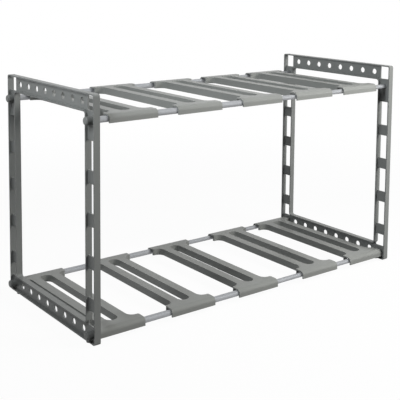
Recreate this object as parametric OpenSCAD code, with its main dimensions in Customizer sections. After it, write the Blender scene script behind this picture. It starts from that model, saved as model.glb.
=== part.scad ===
// Two-tier under sink organizer: two ladder-like side frames joined by four
// telescoping rods, with five slotted panels hooked over the rods of each tier.
// Millimetres. X is the width, Y the depth (front at -Y), Z up, floor at Z = 0.

/* [Overall] */
// Height of the whole rack, from the floor to the top of the side frames
rack_h = 381; // [300:1:460]
// Depth of the side frames, front to back
rack_d = 286; // [220:1:360]
// Width over the outer faces of the side frames, as it is set now
rack_w = 660; // [500:1:700]
// Least width over the side frames, with the rack pushed together
closed_w = 470; // [470:1:500]
// Greatest width over the side frames, with the rack pulled out
open_w = 762; // [700:1:850]

/* [Side frames] */
// Thickness of a side frame, over its rims
frame_t = 10.5; // [9:0.5:16]
// Width of the posts, front to back
bar_w = 26.5; // [24:0.5:32]
// Height of the rails
rail_h = 28; // [24:0.5:34]
// Thickness of the raised rims along both edges of the bars
rim_t = 2.25; // [2:0.25:3.5]
// Thickness of the web between the rims
web_t = 2.4; // [1.6:0.1:4]
// Radius of the frame's outer corners
corner_r = 4; // [1:0.5:8]
// Radius of the big window's corners
window_r = 5; // [1:0.5:10]

/* [Openings in the posts and rails] */
// Height of a window in a post
cut_h = 45; // [30:1:60]
// Height of the bridge between two windows
bridge_h = 20; // [12:1:30]
// Height of the small window at the top of each post
top_cut_h = 24; // [15:0.5:26]
// Height of the solid land that the upper rods are fixed in
upper_land_h = 44; // [34:0.5:60]
// Height of the solid land that the lower rods are fixed in
lower_land_h = 25; // [22:0.5:32]
// Least height of a window that is still cut
least_cut_h = 10; // [8:1:15]
// Radius of the windows' corners
cut_r = 1.5; // [0.5:0.25:3]
// Diameter of the round holes in the rails
hole_d = 10.5; // [8:0.5:16]
// Distance between the centres of the round holes
hole_pitch = 29.4; // [20:0.1:45]
// Least distance from the first hole's edge to the post
hole_margin = 5; // [2:0.5:10]

/* [Rods] */
// Outer diameter of the outer tubes
tube_d = 10; // [9.2:0.1:12]
// Outer diameter of the inner tubes
inner_d = 8.2; // [7.6:0.1:8.4]
// Radial running clearance of an inner tube in an outer tube
slide_gap = 0.05; // [0.02:0.01:0.1]
// Wall of the inner tubes
inner_wall = 0.9; // [0.6:0.1:1.2]
// Length that still lies in the outer tubes when the rack is pulled right out
least_overlap = 35; // [25:1:60]
// Gap left at the inner tubes' ends when the rack is pushed right together
end_gap = 0.6; // [0.4:0.1:3]
// Depth of the upper rods' axis below the top of the frames
upper_drop = 40; // [36:0.5:48]
// Height of the lower rods' axis above the frames' lower edge
lower_rise = 12.5; // [10.5:0.5:15]

/* [Panels] */
// Width of a panel over its ears
panel_w = 88; // [80:0.5:88.5]
// Width of a panel's waist between the ears
waist_w = 54.5; // [40:0.5:62]
// Thickness of the panel's plate, skirts and hooks
panel_t = 2.4; // [1.6:0.1:3]
// Height of the skirts and of the wall around the slot
skirt_h = 12; // [8:0.5:13]
// Width of the long slot
slot_w = 22; // [10:0.5:30]
// Distance from the rod's axis to the end of the slot
slot_end = 14; // [12:0.5:30]
// Distance from the rod's axis to the back edge of the ear
ear_back = 12.5; // [9:0.5:16]
// Radius of the hollow curve between waist and ear
ear_r = 12; // [6:0.5:14]
// Radius of the ears' outer corners
ear_corner_r = 3; // [0.5:0.5:6]
// Running clearance between a hook and the outer tube
hook_gap = 0.08; // [0.02:0.01:0.1]
// Drop of the hook's lip below the rod's axis
lip_drop = 6; // [4:0.5:7]
// Gap between the first lower panel's end, in the frame's recess, and the left web
nest_left = 0.7; // [0.4:0.1:4]
// Gap between the last lower panel's end and the right web
nest_right = 3.8; // [0.4:0.1:4]

/* [Knobs and feet] */
// Diameter of the end knobs
knob_d = 13; // [10:0.5:15]
// How far the knobs stand out of the frame's outer face
knob_out = 8; // [4:0.5:12]
// Radius of the knob's front edge
knob_r = 2.5; // [0.5:0.25:4]
// Gap between a knob and the web that it turns on
knob_gap = 0.3; // [0.2:0.05:0.5]
// Diameter of the stud moulded into a knob
stud_d = 4; // [3:0.1:4.6]
// Diameter of the stud's head
stud_head_d = 8; // [6:0.5:9]
// Length of the stud's head
stud_head_len = 4; // [2:0.5:6]
// Depth of the stud's head below the knob's front
stud_cover = 3; // [2:0.5:4]
// Length of stud that reaches into a plug
stud_reach = 9; // [5:0.5:11]
// Length of a plug in the end of a rod
plug_len = 12; // [8:0.5:14]
// Radial running clearance around the studs
stud_gap = 0.06; // [0.02:0.01:0.1]
// Diameter of the hole in the web that a stud passes through
stud_hole_d = 5; // [4.8:0.1:6]
// Diameter of a foot
foot_d = 9; // [6:0.5:10]
// Height of a foot below the frame
foot_h = 3; // [2:0.5:5]
// Diameter of the foot's stem, set into the frame's lower rim
foot_stem_d = 4.5; // [3:0.5:5]
// Radial gap around the foot's stem
stem_gap = 0.05; // [0.02:0.01:0.2]
// Radius of the foot's lower edge
foot_r = 0.8; // [0.2:0.1:1.5]
// Distance from the frame's end to the middle of a foot
foot_in = 25; // [20:1:60]

/* [Hidden] */
$fn = 64;
eps = 0.01;

frame_h = rack_h - foot_h;
recess = (frame_t - web_t) / 2;
left_x = -rack_w / 2;
left_inner_x = left_x + frame_t;
rod_y = rack_d / 2 - bar_w / 2;
upper_z = rack_h - upper_drop;
lower_z = foot_h + lower_rise;
win_d = rack_d - 2 * bar_w;
win_h = frame_h - 2 * rail_h;
channel_w = bar_w - 2 * rim_t;

// Where the faces of a web lie, measured from the frame's outer face
web_out = recess;
web_in = recess + web_t;

tube_bore_d = inner_d + 2 * slide_gap;
inner_len = closed_w - 2 * web_in - plug_len - end_gap;
tube_len = open_w - 2 * web_in - inner_len + least_overlap;
inner_bore_d = inner_d - 2 * inner_wall;
hook_in_r = tube_d / 2 + hook_gap;
hook_out_r = hook_in_r + panel_t;

// Panels move by a share of the rack's widening. Their places are measured from the left
// frame's inner face: pushed together first, then widened
upper_shares = [0.096, 0.295, 0.526, 0.701, 0.855];
lower_shares = [0, 0.257, 0.518, 0.827, 1];
widening = rack_w - closed_w;
closed_inside = closed_w - 2 * frame_t;
upper_gap = (closed_inside - 5 * panel_w) / 6;
lower_room = closed_inside + 2 * recess - nest_left - nest_right;
upper_places = [for (i = [0 : 4])
    upper_gap + panel_w / 2 + i * (panel_w + upper_gap) + upper_shares[i] * widening];
lower_places = [for (i = [0 : 4])
    nest_left - recess + panel_w / 2 + i * (lower_room - panel_w) / 4 + lower_shares[i] * widening];

hole_span = win_d - hole_d - 2 * hole_margin;
hole_count = floor(hole_span / hole_pitch) + 1;

knob_len = recess + knob_out - knob_gap;
stud_len = knob_len - stud_cover - stud_head_len + knob_gap + web_t + stud_reach;

// Bottom edges and heights of the windows in a post, from the top down
cuts_top = rack_h - rim_t - top_cut_h - upper_land_h;
cuts_low = foot_h + lower_land_h;
cut_step = cut_h + bridge_h;
cut_rows = ceil((cuts_top - cuts_low) / cut_step);
cuts = concat([[rack_h - rim_t - top_cut_h, top_cut_h]],
    [for (i = [0 : cut_rows - 1])
        let (top = cuts_top - i * cut_step, low = max(cuts_low, top - cut_h))
        if (top - low >= least_cut_h) [low, top - low]]);

frame_grey = [0.55, 0.57, 0.57];
panel_grey = [0.66, 0.67, 0.65];
steel = [0.72, 0.75, 0.79];
dark = [0.18, 0.18, 0.18];

// Rectangle with round corners, centred
module round_rect(w, h, r) {
    square([w - 2 * r, h], center = true);
    square([w, h - 2 * r], center = true);
    for (i = [-1, 1], j = [-1, 1]) translate([i * (w / 2 - r), j * (h / 2 - r)]) circle(r);
}

// Extrudes a shape drawn in depth and height along +X from x
module along_x(x, len) {
    translate([x, 0, 0]) rotate([90, 0, 90]) linear_extrude(len) children();
}

// Mirrors a left-hand piece to the right-hand side
module on_side(side) {
    mirror([side == "right" ? 1 : 0, 0, 0]) children();
}

// Outline of the big window grown by a margin, in depth and height
module window_shape(grow) {
    translate([0, foot_h + frame_h / 2])
        round_rect(win_d + 2 * grow, win_h + 2 * grow, window_r + grow);
}

// Outline of the frame drawn in by a margin
module frame_shape(inset) {
    translate([0, foot_h + frame_h / 2])
        round_rect(rack_d - 2 * inset, frame_h - 2 * inset, max(corner_r - inset, 0.5));
}

module post_cuts() {
    for (side = [-1, 1], c = cuts)
        translate([side * rod_y, c[0] + c[1] / 2]) round_rect(channel_w, c[1], cut_r);
}

module rail_holes() {
    for (z = [foot_h + rail_h / 2, rack_h - rail_h / 2], i = [0 : hole_count - 1])
        translate([(i - (hole_count - 1) / 2) * hole_pitch, z]) circle(d = hole_d);
}

module rod_holes() {
    for (y = [-rod_y, rod_y], z = [lower_z, upper_z]) translate([y, z]) circle(d = stud_hole_d);
}

// Left-hand side frame: H-section bars with the web between two raised rims
module side_frame() {
    color(frame_grey) difference() {
        union() {
            along_x(left_x, frame_t) difference() {
                frame_shape(0);
                frame_shape(rim_t);
            }
            along_x(left_x, frame_t) difference() {
                window_shape(rim_t);
                window_shape(0);
            }
            along_x(left_x + web_out, web_t) difference() {
                frame_shape(rim_t / 2);
                window_shape(rim_t / 2);
                post_cuts();
                rail_holes();
                rod_holes();
            }
        }
        for (y = [-1, 1])
            translate([left_x + frame_t / 2, y * (rack_d / 2 - foot_in), foot_h - eps])
                cylinder(d = foot_stem_d + 2 * stem_gap, h = rim_t + 2 * eps);
    }
}

// Left-hand foot: a button below the frame with a stem pressed into its rim
module foot(y_side) {
    color(dark) translate([left_x + frame_t / 2, y_side * (rack_d / 2 - foot_in), 0]) {
        rotate_extrude() {
            square([foot_d / 2 - foot_r, foot_h]);
            translate([0, foot_r]) square([foot_d / 2, foot_h - foot_r]);
            translate([foot_d / 2 - foot_r, foot_r]) intersection() {
                circle(foot_r);
                translate([-foot_d, -foot_r]) square([2 * foot_d, foot_r]);
            }
        }
        cylinder(d = foot_stem_d, h = foot_h + rim_t);
    }
}

// Round bar or tube along X
module pipe(x, y, z, len, outer_d, bore_d) {
    along_x(x, len) translate([y, z]) difference() {
        circle(d = outer_d);
        circle(d = bore_d);
    }
}

module outer_tube(y_side, z) {
    color(steel) pipe(left_x + web_in, y_side * rod_y, z, tube_len, tube_d, tube_bore_d);
}

module inner_tube(y_side, z) {
    color(steel) pipe(-left_x - web_in - inner_len, y_side * rod_y, z, inner_len, inner_d, inner_bore_d);
}

// Threaded plugs pressed into the rods' fixed ends, four on one side
module plugs(outer_d) {
    color(dark) for (y = [-rod_y, rod_y], z = [lower_z, upper_z])
        pipe(left_x + web_in, y, z, plug_len, outer_d, stud_d + 2 * stud_gap);
}

// Left-hand knob: a round cap with the stud's head moulded in
module knob(y_side, z) {
    color(frame_grey) translate([left_x + web_out - knob_gap, y_side * rod_y, z]) rotate([0, -90, 0])
        rotate_extrude() difference() {
            union() {
                square([knob_d / 2 - knob_r, knob_len]);
                square([knob_d / 2, knob_len - knob_r]);
                translate([knob_d / 2 - knob_r, knob_len - knob_r]) circle(knob_r);
            }
            translate([-knob_d, -eps]) square([knob_d, knob_len + 2 * eps]);
            translate([0, -eps])
                square([stud_d / 2, knob_len - stud_cover - stud_head_len + 2 * eps]);
            translate([0, knob_len - stud_cover - stud_head_len])
                square([stud_head_d / 2, stud_head_len]);
        }
}

// Left-hand stud: its head lies in the knob, its shank reaches into the plug
module stud(y_side, z) {
    head_x = left_x + web_out - knob_gap - (knob_len - stud_cover);
    color(steel) translate([head_x, y_side * rod_y, z]) rotate([0, 90, 0]) {
        cylinder(d = stud_head_d, h = stud_head_len);
        cylinder(d = stud_d, h = stud_head_len + stud_len);
    }
}

// Plan of a panel between the rods' axes, drawn in by a margin
module panel_shape(inset, past = 0) {
    half = waist_w / 2 - inset;
    back = rod_y - ear_back + inset;
    r = ear_r + inset;
    square([2 * half, 2 * (rod_y + past)], center = true);
    for (s = [-1, 1]) mirror([0, s < 0 ? 1 : 0]) {
        reach = panel_w / 2 + past;
        translate([-reach, back + ear_corner_r]) square([2 * reach, rod_y + past - back - ear_corner_r]);
        translate([ear_corner_r - reach, back]) square([2 * (reach - ear_corner_r), 2 * ear_corner_r]);
        for (t = [-1, 1]) translate([t * (reach - ear_corner_r), back + ear_corner_r])
            circle(ear_corner_r);
        for (t = [-1, 1]) mirror([t < 0 ? 1 : 0, 0]) difference() {
            translate([half - eps, back - r]) square([r + eps, r + eps]);
            translate([half + r, back - r]) circle(r);
        }
    }
}

module slot_shape(grow) {
    end = rod_y - slot_end - slot_w / 2;
    r = slot_w / 2 + grow;
    square([2 * r, 2 * end], center = true);
    for (s = [-1, 1]) translate([0, s * end]) circle(r);
}

// Section of a hook over a rod that lies at the origin, open below
module hook_shape() {
    difference() {
        union() {
            intersection() {
                circle(hook_out_r);
                square(hook_out_r);
            }
            translate([0, -lip_drop]) square([hook_out_r, lip_drop + eps]);
        }
        circle(hook_in_r);
        translate([-eps, -lip_drop - eps]) square([hook_in_r + eps, lip_drop + eps]);
    }
}

// One panel: plate, skirts, slot wall and two hooks. u is its centre's distance from the
// left frame's inner face, z the height of the rods' axis
module panel(u, z) {
    color(panel_grey) translate([left_inner_x + u, 0, z]) {
        translate([0, 0, hook_out_r - panel_t]) linear_extrude(panel_t) difference() {
            panel_shape(0);
            slot_shape(0);
        }
        translate([0, 0, hook_out_r - skirt_h]) linear_extrude(skirt_h - panel_t / 2) {
            difference() {
                panel_shape(0);
                panel_shape(panel_t, 1);
            }
            difference() {
                slot_shape(panel_t);
                slot_shape(0);
            }
        }
        for (s = [-1, 1]) mirror([0, s < 0 ? 1 : 0, 0])
            translate([0, rod_y, 0]) along_x(-panel_w / 2, panel_w) hook_shape();
    }
}

side_frame();  // left_frame
foot(-1);  // left_front_foot
foot(1);  // left_rear_foot
plugs(tube_bore_d);  // left_plugs
outer_tube(-1, upper_z);  // upper_front_tube
outer_tube(1, upper_z);  // upper_rear_tube
outer_tube(-1, lower_z);  // lower_front_tube
outer_tube(1, lower_z);  // lower_rear_tube
on_side("right") side_frame();  // right_frame
on_side("right") foot(-1);  // right_front_foot
on_side("right") foot(1);  // right_rear_foot
on_side("right") plugs(inner_bore_d);  // right_plugs
inner_tube(-1, upper_z);  // upper_front_inner_tube
inner_tube(1, upper_z);  // upper_rear_inner_tube
inner_tube(-1, lower_z);  // lower_front_inner_tube
inner_tube(1, lower_z);  // lower_rear_inner_tube
for (i = [0 : 4]) {
    panel(upper_places[i], upper_z);
    panel(lower_places[i], lower_z);
}
for (side = ["left", "right"], y = [["front", -1], ["rear", 1]],
        z = [["upper", upper_z], ["lower", lower_z]]) {
    name = str(side, "_", z[0], "_", y[0]);
    on_side(side) knob(y[1], z[1]);
    on_side(side) stud(y[1], z[1]);
}
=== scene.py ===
import math

import bpy
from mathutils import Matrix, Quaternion, Vector

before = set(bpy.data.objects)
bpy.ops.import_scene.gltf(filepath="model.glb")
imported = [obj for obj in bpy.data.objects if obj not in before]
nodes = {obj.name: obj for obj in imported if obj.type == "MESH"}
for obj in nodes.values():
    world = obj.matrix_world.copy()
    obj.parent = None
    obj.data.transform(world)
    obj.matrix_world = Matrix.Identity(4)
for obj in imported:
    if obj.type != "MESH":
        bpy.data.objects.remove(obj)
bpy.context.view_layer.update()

# Camera. It stands in front of the rack and to its left, a little above the upper tier,
# and looks almost level. The frame is shifted down, as with a view camera's falling front,
# so the posts stay upright. The photograph's side and the lens are measured in pixels.
photo_side = 400
focal_length = 842.7
straight_ahead = (170.0, 54.1)
turned, tipped, rolled = math.radians(36.09), math.radians(5.70), math.radians(0.28)
looking = Vector((math.sin(turned) * math.cos(tipped),
                  math.cos(turned) * math.cos(tipped), -math.sin(tipped)))
lens = bpy.data.cameras.new("camera")
lens.sensor_width = 36
lens.lens = focal_length / photo_side * lens.sensor_width
lens.shift_x = (photo_side / 2 - straight_ahead[0]) / photo_side
lens.shift_y = (straight_ahead[1] - photo_side / 2) / photo_side
lens.clip_start, lens.clip_end = 0.02, 60
camera = bpy.data.objects.new("camera", lens)
camera.location = (-0.949, -1.178, 0.560)
camera.rotation_mode = "QUATERNION"
camera.rotation_quaternion = looking.to_track_quat("-Z", "Y") @ Quaternion((0, 0, 1), rolled)
bpy.context.collection.objects.link(camera)
bpy.context.scene.camera = camera
bpy.context.scene.view_settings.view_transform = "Standard"


# Studio: the key softbox above and to the front right lights the panels and their hooks, and
# a small one beside it the right posts. Two weak ones at the left, one of them with a honeycomb
# grid that keeps it off the lower tier, light the outside of the left frame.
def softbox(name, place, aim, side, watts, colour, cone=180):
    lamp = bpy.data.lights.new(name, "AREA")
    lamp.shape = "RECTANGLE"
    lamp.size, lamp.size_y = side
    lamp.energy, lamp.color, lamp.spread = watts, colour, math.radians(cone)
    box = bpy.data.objects.new(name, lamp)
    box.location = place
    box.rotation_euler = (Vector(aim) - Vector(place)).to_track_quat("-Z", "Y").to_euler()
    bpy.context.collection.objects.link(box)
    return box


warm, neutral, cool = (1, 1, 0.97), (0.96, 0.98, 1), (0.94, 0.98, 1)
key = softbox("key", (0.58, -0.88, 0.85), (0, 0, 0.2), (0.5, 0.45), 12.4, warm)
softbox("front_right", (1.1, -1.0, 0.6), (0.3, 0, 0.2), (0.4, 0.4), 2.4, neutral)
softbox("left_strip", (-1.5, -0.35, 0.95), (0.25, 0, 0.36), (0.3, 0.3), 0.40, cool, cone=32)
softbox("upper_left", (-1.15, -0.3, 1.25), (-0.33, 0, 0.4), (0.25, 0.25), 1.45, cool, cone=90)
# Seen from behind, the upper panels would mirror the key and glare white.
key.visible_glossy = False


# Shader sockets as numbers. Sums and products of them add Math nodes, and a Finish holds
# one material: its node() makes any other node from a type, settings and sockets.
class Value:
    def __init__(self, finish, socket):
        self.finish, self.socket = finish, socket

    def math(self, operation, *values):
        return self.finish.node("Math", {"operation": operation}, dict(enumerate(values)))

    def __add__(self, other):
        return self.math("ADD", self, other)

    def __sub__(self, other):
        return self.math("SUBTRACT", self, other)

    def __rsub__(self, other):
        return self.math("SUBTRACT", other, self)

    def __mul__(self, other):
        return self.math("MULTIPLY", self, other)

    def __gt__(self, other):
        return self.math("GREATER_THAN", self, other)

    __radd__, __rmul__ = __add__, __mul__


class Finish:
    def __init__(self, owner):
        owner.use_nodes = True
        self.material, self.tree = owner, owner.node_tree
        self.skin = self.tree.nodes.get("Principled BSDF") or self.tree.nodes["Background"]

    def node(self, kind, settings, sockets, out=0):
        made = self.tree.nodes.new("ShaderNode" + kind)
        for name, value in settings.items():
            setattr(made, name, value)
        self.fill(made, sockets)
        return Value(self, made.outputs[out])

    def fill(self, made, sockets):
        for name, value in sockets.items():
            if isinstance(value, Value):
                self.tree.links.new(value.socket, made.inputs[name])
            else:
                made.inputs[name].default_value = value

    def coat(self, **sockets):
        self.fill(self.skin, {name.replace("_", " "): value for name, value in sockets.items()})

    def place(self):
        return self.node("TexCoord", {}, {}, "Object")

    def noise(self, scale, detail=2.0, stretch=(1, 1, 1)):
        here = self.node("Mapping", {}, {"Vector": self.place(), "Scale": stretch})
        return self.node("TexNoise", {}, {"Vector": here, "Scale": scale, "Detail": detail}, "Fac")

    def blend(self, amount, first, second):
        return self.node("Mix", {"data_type": "RGBA"}, {0: amount, 6: first, 7: second}, 2)

    def relief(self, height, depth):
        return self.node("Bump", {}, {"Height": height, "Distance": depth}, "Normal")

    # 1 where the camera, a gloss or glass sees the surface, and 0 for the light that it throws
    def seen(self):
        by_camera = self.node("LightPath", {}, {}, "Is Camera Ray")
        in_gloss = self.node("LightPath", {}, {}, "Is Glossy Ray")
        return by_camera + in_gloss + self.node("LightPath", {}, {}, "Is Transmission Ray")


# Floor: a plain white sweep that the rack stands on. It shows white to the camera and in
# gloss, and near the rack it keeps a little of its own shading, and with it the soft shadow.
# The light that it throws up is that of a dark grey floor, so undersides stay dark.
sweep = Finish(bpy.data.materials.new("white_sweep"))
dark_grey, white = (0.10, 0.10, 0.10, 1), (0.95, 0.95, 0.95, 1)
sweep.coat(Base_Color=sweep.blend(sweep.seen(), dark_grey, white), Roughness=0.9)
away = sweep.node("VectorMath", {"operation": "LENGTH"}, {0: sweep.place()}, "Value")
own_share = sweep.node("MapRange", {"interpolation_type": "SMOOTHSTEP"},
                       {"Value": away, "From Min": 0.5, "From Max": 1.6, "To Min": 0.04, "To Max": 0.0})
shaded = Value(sweep, sweep.skin.outputs["BSDF"])
glow = sweep.node("Emission", {}, {"Color": (1, 1, 1, 1), "Strength": 1.0}, "Emission")
lit = sweep.node("MixShader", {}, {0: sweep.seen() * (1 - own_share), 1: shaded, 2: glow})
sweep.fill(sweep.tree.nodes["Material Output"], {"Surface": lit})
reach = 25.0
floor_mesh = bpy.data.meshes.new("floor")
floor_mesh.from_pydata([(-reach, -reach, 0), (reach, -reach, 0), (reach, reach, 0), (-reach, reach, 0)],
                       [], [(0, 1, 2, 3)])
floor_mesh.materials.append(sweep.material)
floor = bpy.data.objects.new("floor", floor_mesh)
bpy.context.collection.objects.link(floor)

# Room: dim and even for the light that it throws, white where the camera or a gloss sees it.
room = Finish(bpy.data.worlds.new("room"))
bpy.context.scene.world = room.material
dim = 0.04
room.coat(Color=(1, 1, 1, 1), Strength=dim + room.seen() * (1 - dim))


# Side frames: two ladder-like mouldings, H-section bars with a thin web between raised
# rims, injection moulded in silver-grey plastic. Every edge has the mould's small radius,
# and the faces have its fine spark-eroded grain and a few pale flecks of its pigment.
def dress(piece, finish, edge_radius):
    piece.data.materials.clear()
    piece.data.materials.append(finish.material)
    weld = piece.modifiers.new("weld", "WELD")
    weld.merge_threshold = 0.00001
    edges = piece.modifiers.new("edges", "BEVEL")
    edges.width, edges.segments = edge_radius, 2
    edges.limit_method, edges.angle_limit = "ANGLE", math.radians(40)
    edges.miter_outer = "MITER_ARC"
    piece.data.shade_smooth()
    shading = piece.modifiers.new("shading", "WEIGHTED_NORMAL")
    shading.keep_sharp = True


def moulded_grey(name, colour):
    made = Finish(bpy.data.materials.new(name))
    deep, pale, bright = ([c * share for c in colour] + [1] for share in (0.93, 1.07, 1.35))
    flecks = made.noise(5200, 1) > 0.66
    tone = made.blend(flecks * 0.5, made.blend(made.noise(14, 3), deep, pale), bright)
    eroded = made.noise(2600, 3) + made.noise(900, 2) * 0.6
    made.coat(Base_Color=tone, Roughness=made.noise(60, 3) * 0.12 + 0.31 - flecks * 0.06,
              Specular_IOR_Level=0.2, Normal=made.relief(eroded, 0.00004))
    return made


frame_grey = moulded_grey("frame_plastic", (0.255, 0.262, 0.256))
for side in ("left", "right"):
    dress(nodes[side + "_frame"], frame_grey, 0.00055)

# Feet: four soft black rubber buttons under the frames, each held by a stem that is pushed
# up through the lower rim. They keep the hard plastic off the cabinet floor.
rubber = Finish(bpy.data.materials.new("foot_rubber"))
dust = rubber.noise(700, 4)
rubber.coat(Base_Color=rubber.blend(dust, (0.018, 0.018, 0.018, 1), (0.045, 0.044, 0.042, 1)),
            Roughness=0.62 + rubber.noise(160, 2) * 0.2,
            Normal=rubber.relief(rubber.noise(2400, 3), 0.00006))
for side in ("left", "right"):
    for row in ("front", "rear"):
        dress(nodes[f"{side}_{row}_foot"], rubber, 0.0002)

# Rods: each is an outer tube fixed to the left frame and a thinner one fixed to the right
# that slides in it. Drawn steel tube with a bright silver coat, with faint draw lines
# along it and a dark plug pressed into each fixed end.
silver = Finish(bpy.data.materials.new("silver_tube"))
draw_lines = silver.noise(1100, 2, stretch=(0.012, 1, 1))
haze = silver.noise(40, 3)
silver.coat(Base_Color=silver.blend(haze, (0.39, 0.40, 0.42, 1), (0.46, 0.47, 0.49, 1)),
            Metallic=0.45,
            Roughness=0.42 + draw_lines * 0.12 + haze * 0.05,
            Normal=silver.relief(draw_lines, 0.00003))
black_plug = Finish(bpy.data.materials.new("plug_plastic"))
scuffs = black_plug.noise(300, 3)
black_plug.coat(Base_Color=black_plug.blend(scuffs, (0.03, 0.03, 0.03, 1), (0.06, 0.06, 0.06, 1)),
                Roughness=0.5 + black_plug.noise(200, 2) * 0.1,
                Normal=black_plug.relief(black_plug.noise(1500, 3), 0.00005))
for tier in ("upper", "lower"):
    for row in ("front", "rear"):
        for kind in ("tube", "inner_tube"):
            dress(nodes[f"{tier}_{row}_{kind}"], silver, 0.0002)
for side in ("left", "right"):
    dress(nodes[side + "_plugs"], black_plug, 0.0001)

# Panels: ten alike, one-piece mouldings in the frames' silver-grey plastic. A slotted
# beam widens into an ear at each end, and the ear's hook is pushed down over a rod.
panel_grey = moulded_grey("panel_plastic", (0.298, 0.304, 0.293))
for tier in ("upper", "lower"):
    for number in range(1, 6):
        dress(nodes[f"{tier}_panel_{number}"], panel_grey, 0.0008)

# Knobs: eight round caps in the frames' recesses, moulded round the heads of plated studs.
# Each stud goes through the web and holds a rod's plug, so the rack comes apart by hand.
knob_grey = moulded_grey("knob_plastic", (0.262, 0.268, 0.262))
zinc = Finish(bpy.data.materials.new("stud_zinc"))
zinc.coat(Base_Color=zinc.blend(zinc.noise(500, 3), (0.50, 0.50, 0.52, 1), (0.62, 0.62, 0.63, 1)),
          Metallic=1.0,
          Roughness=0.3 + zinc.noise(900, 2) * 0.12,
          Normal=zinc.relief(zinc.noise(1800, 2), 0.00003))
for side in ("left", "right"):
    for tier in ("upper", "lower"):
        for row in ("front", "rear"):
            dress(nodes[f"{side}_{tier}_{row}_knob"], knob_grey, 0.0003)
            dress(nodes[f"{side}_{tier}_{row}_stud"], zinc, 0.0002)
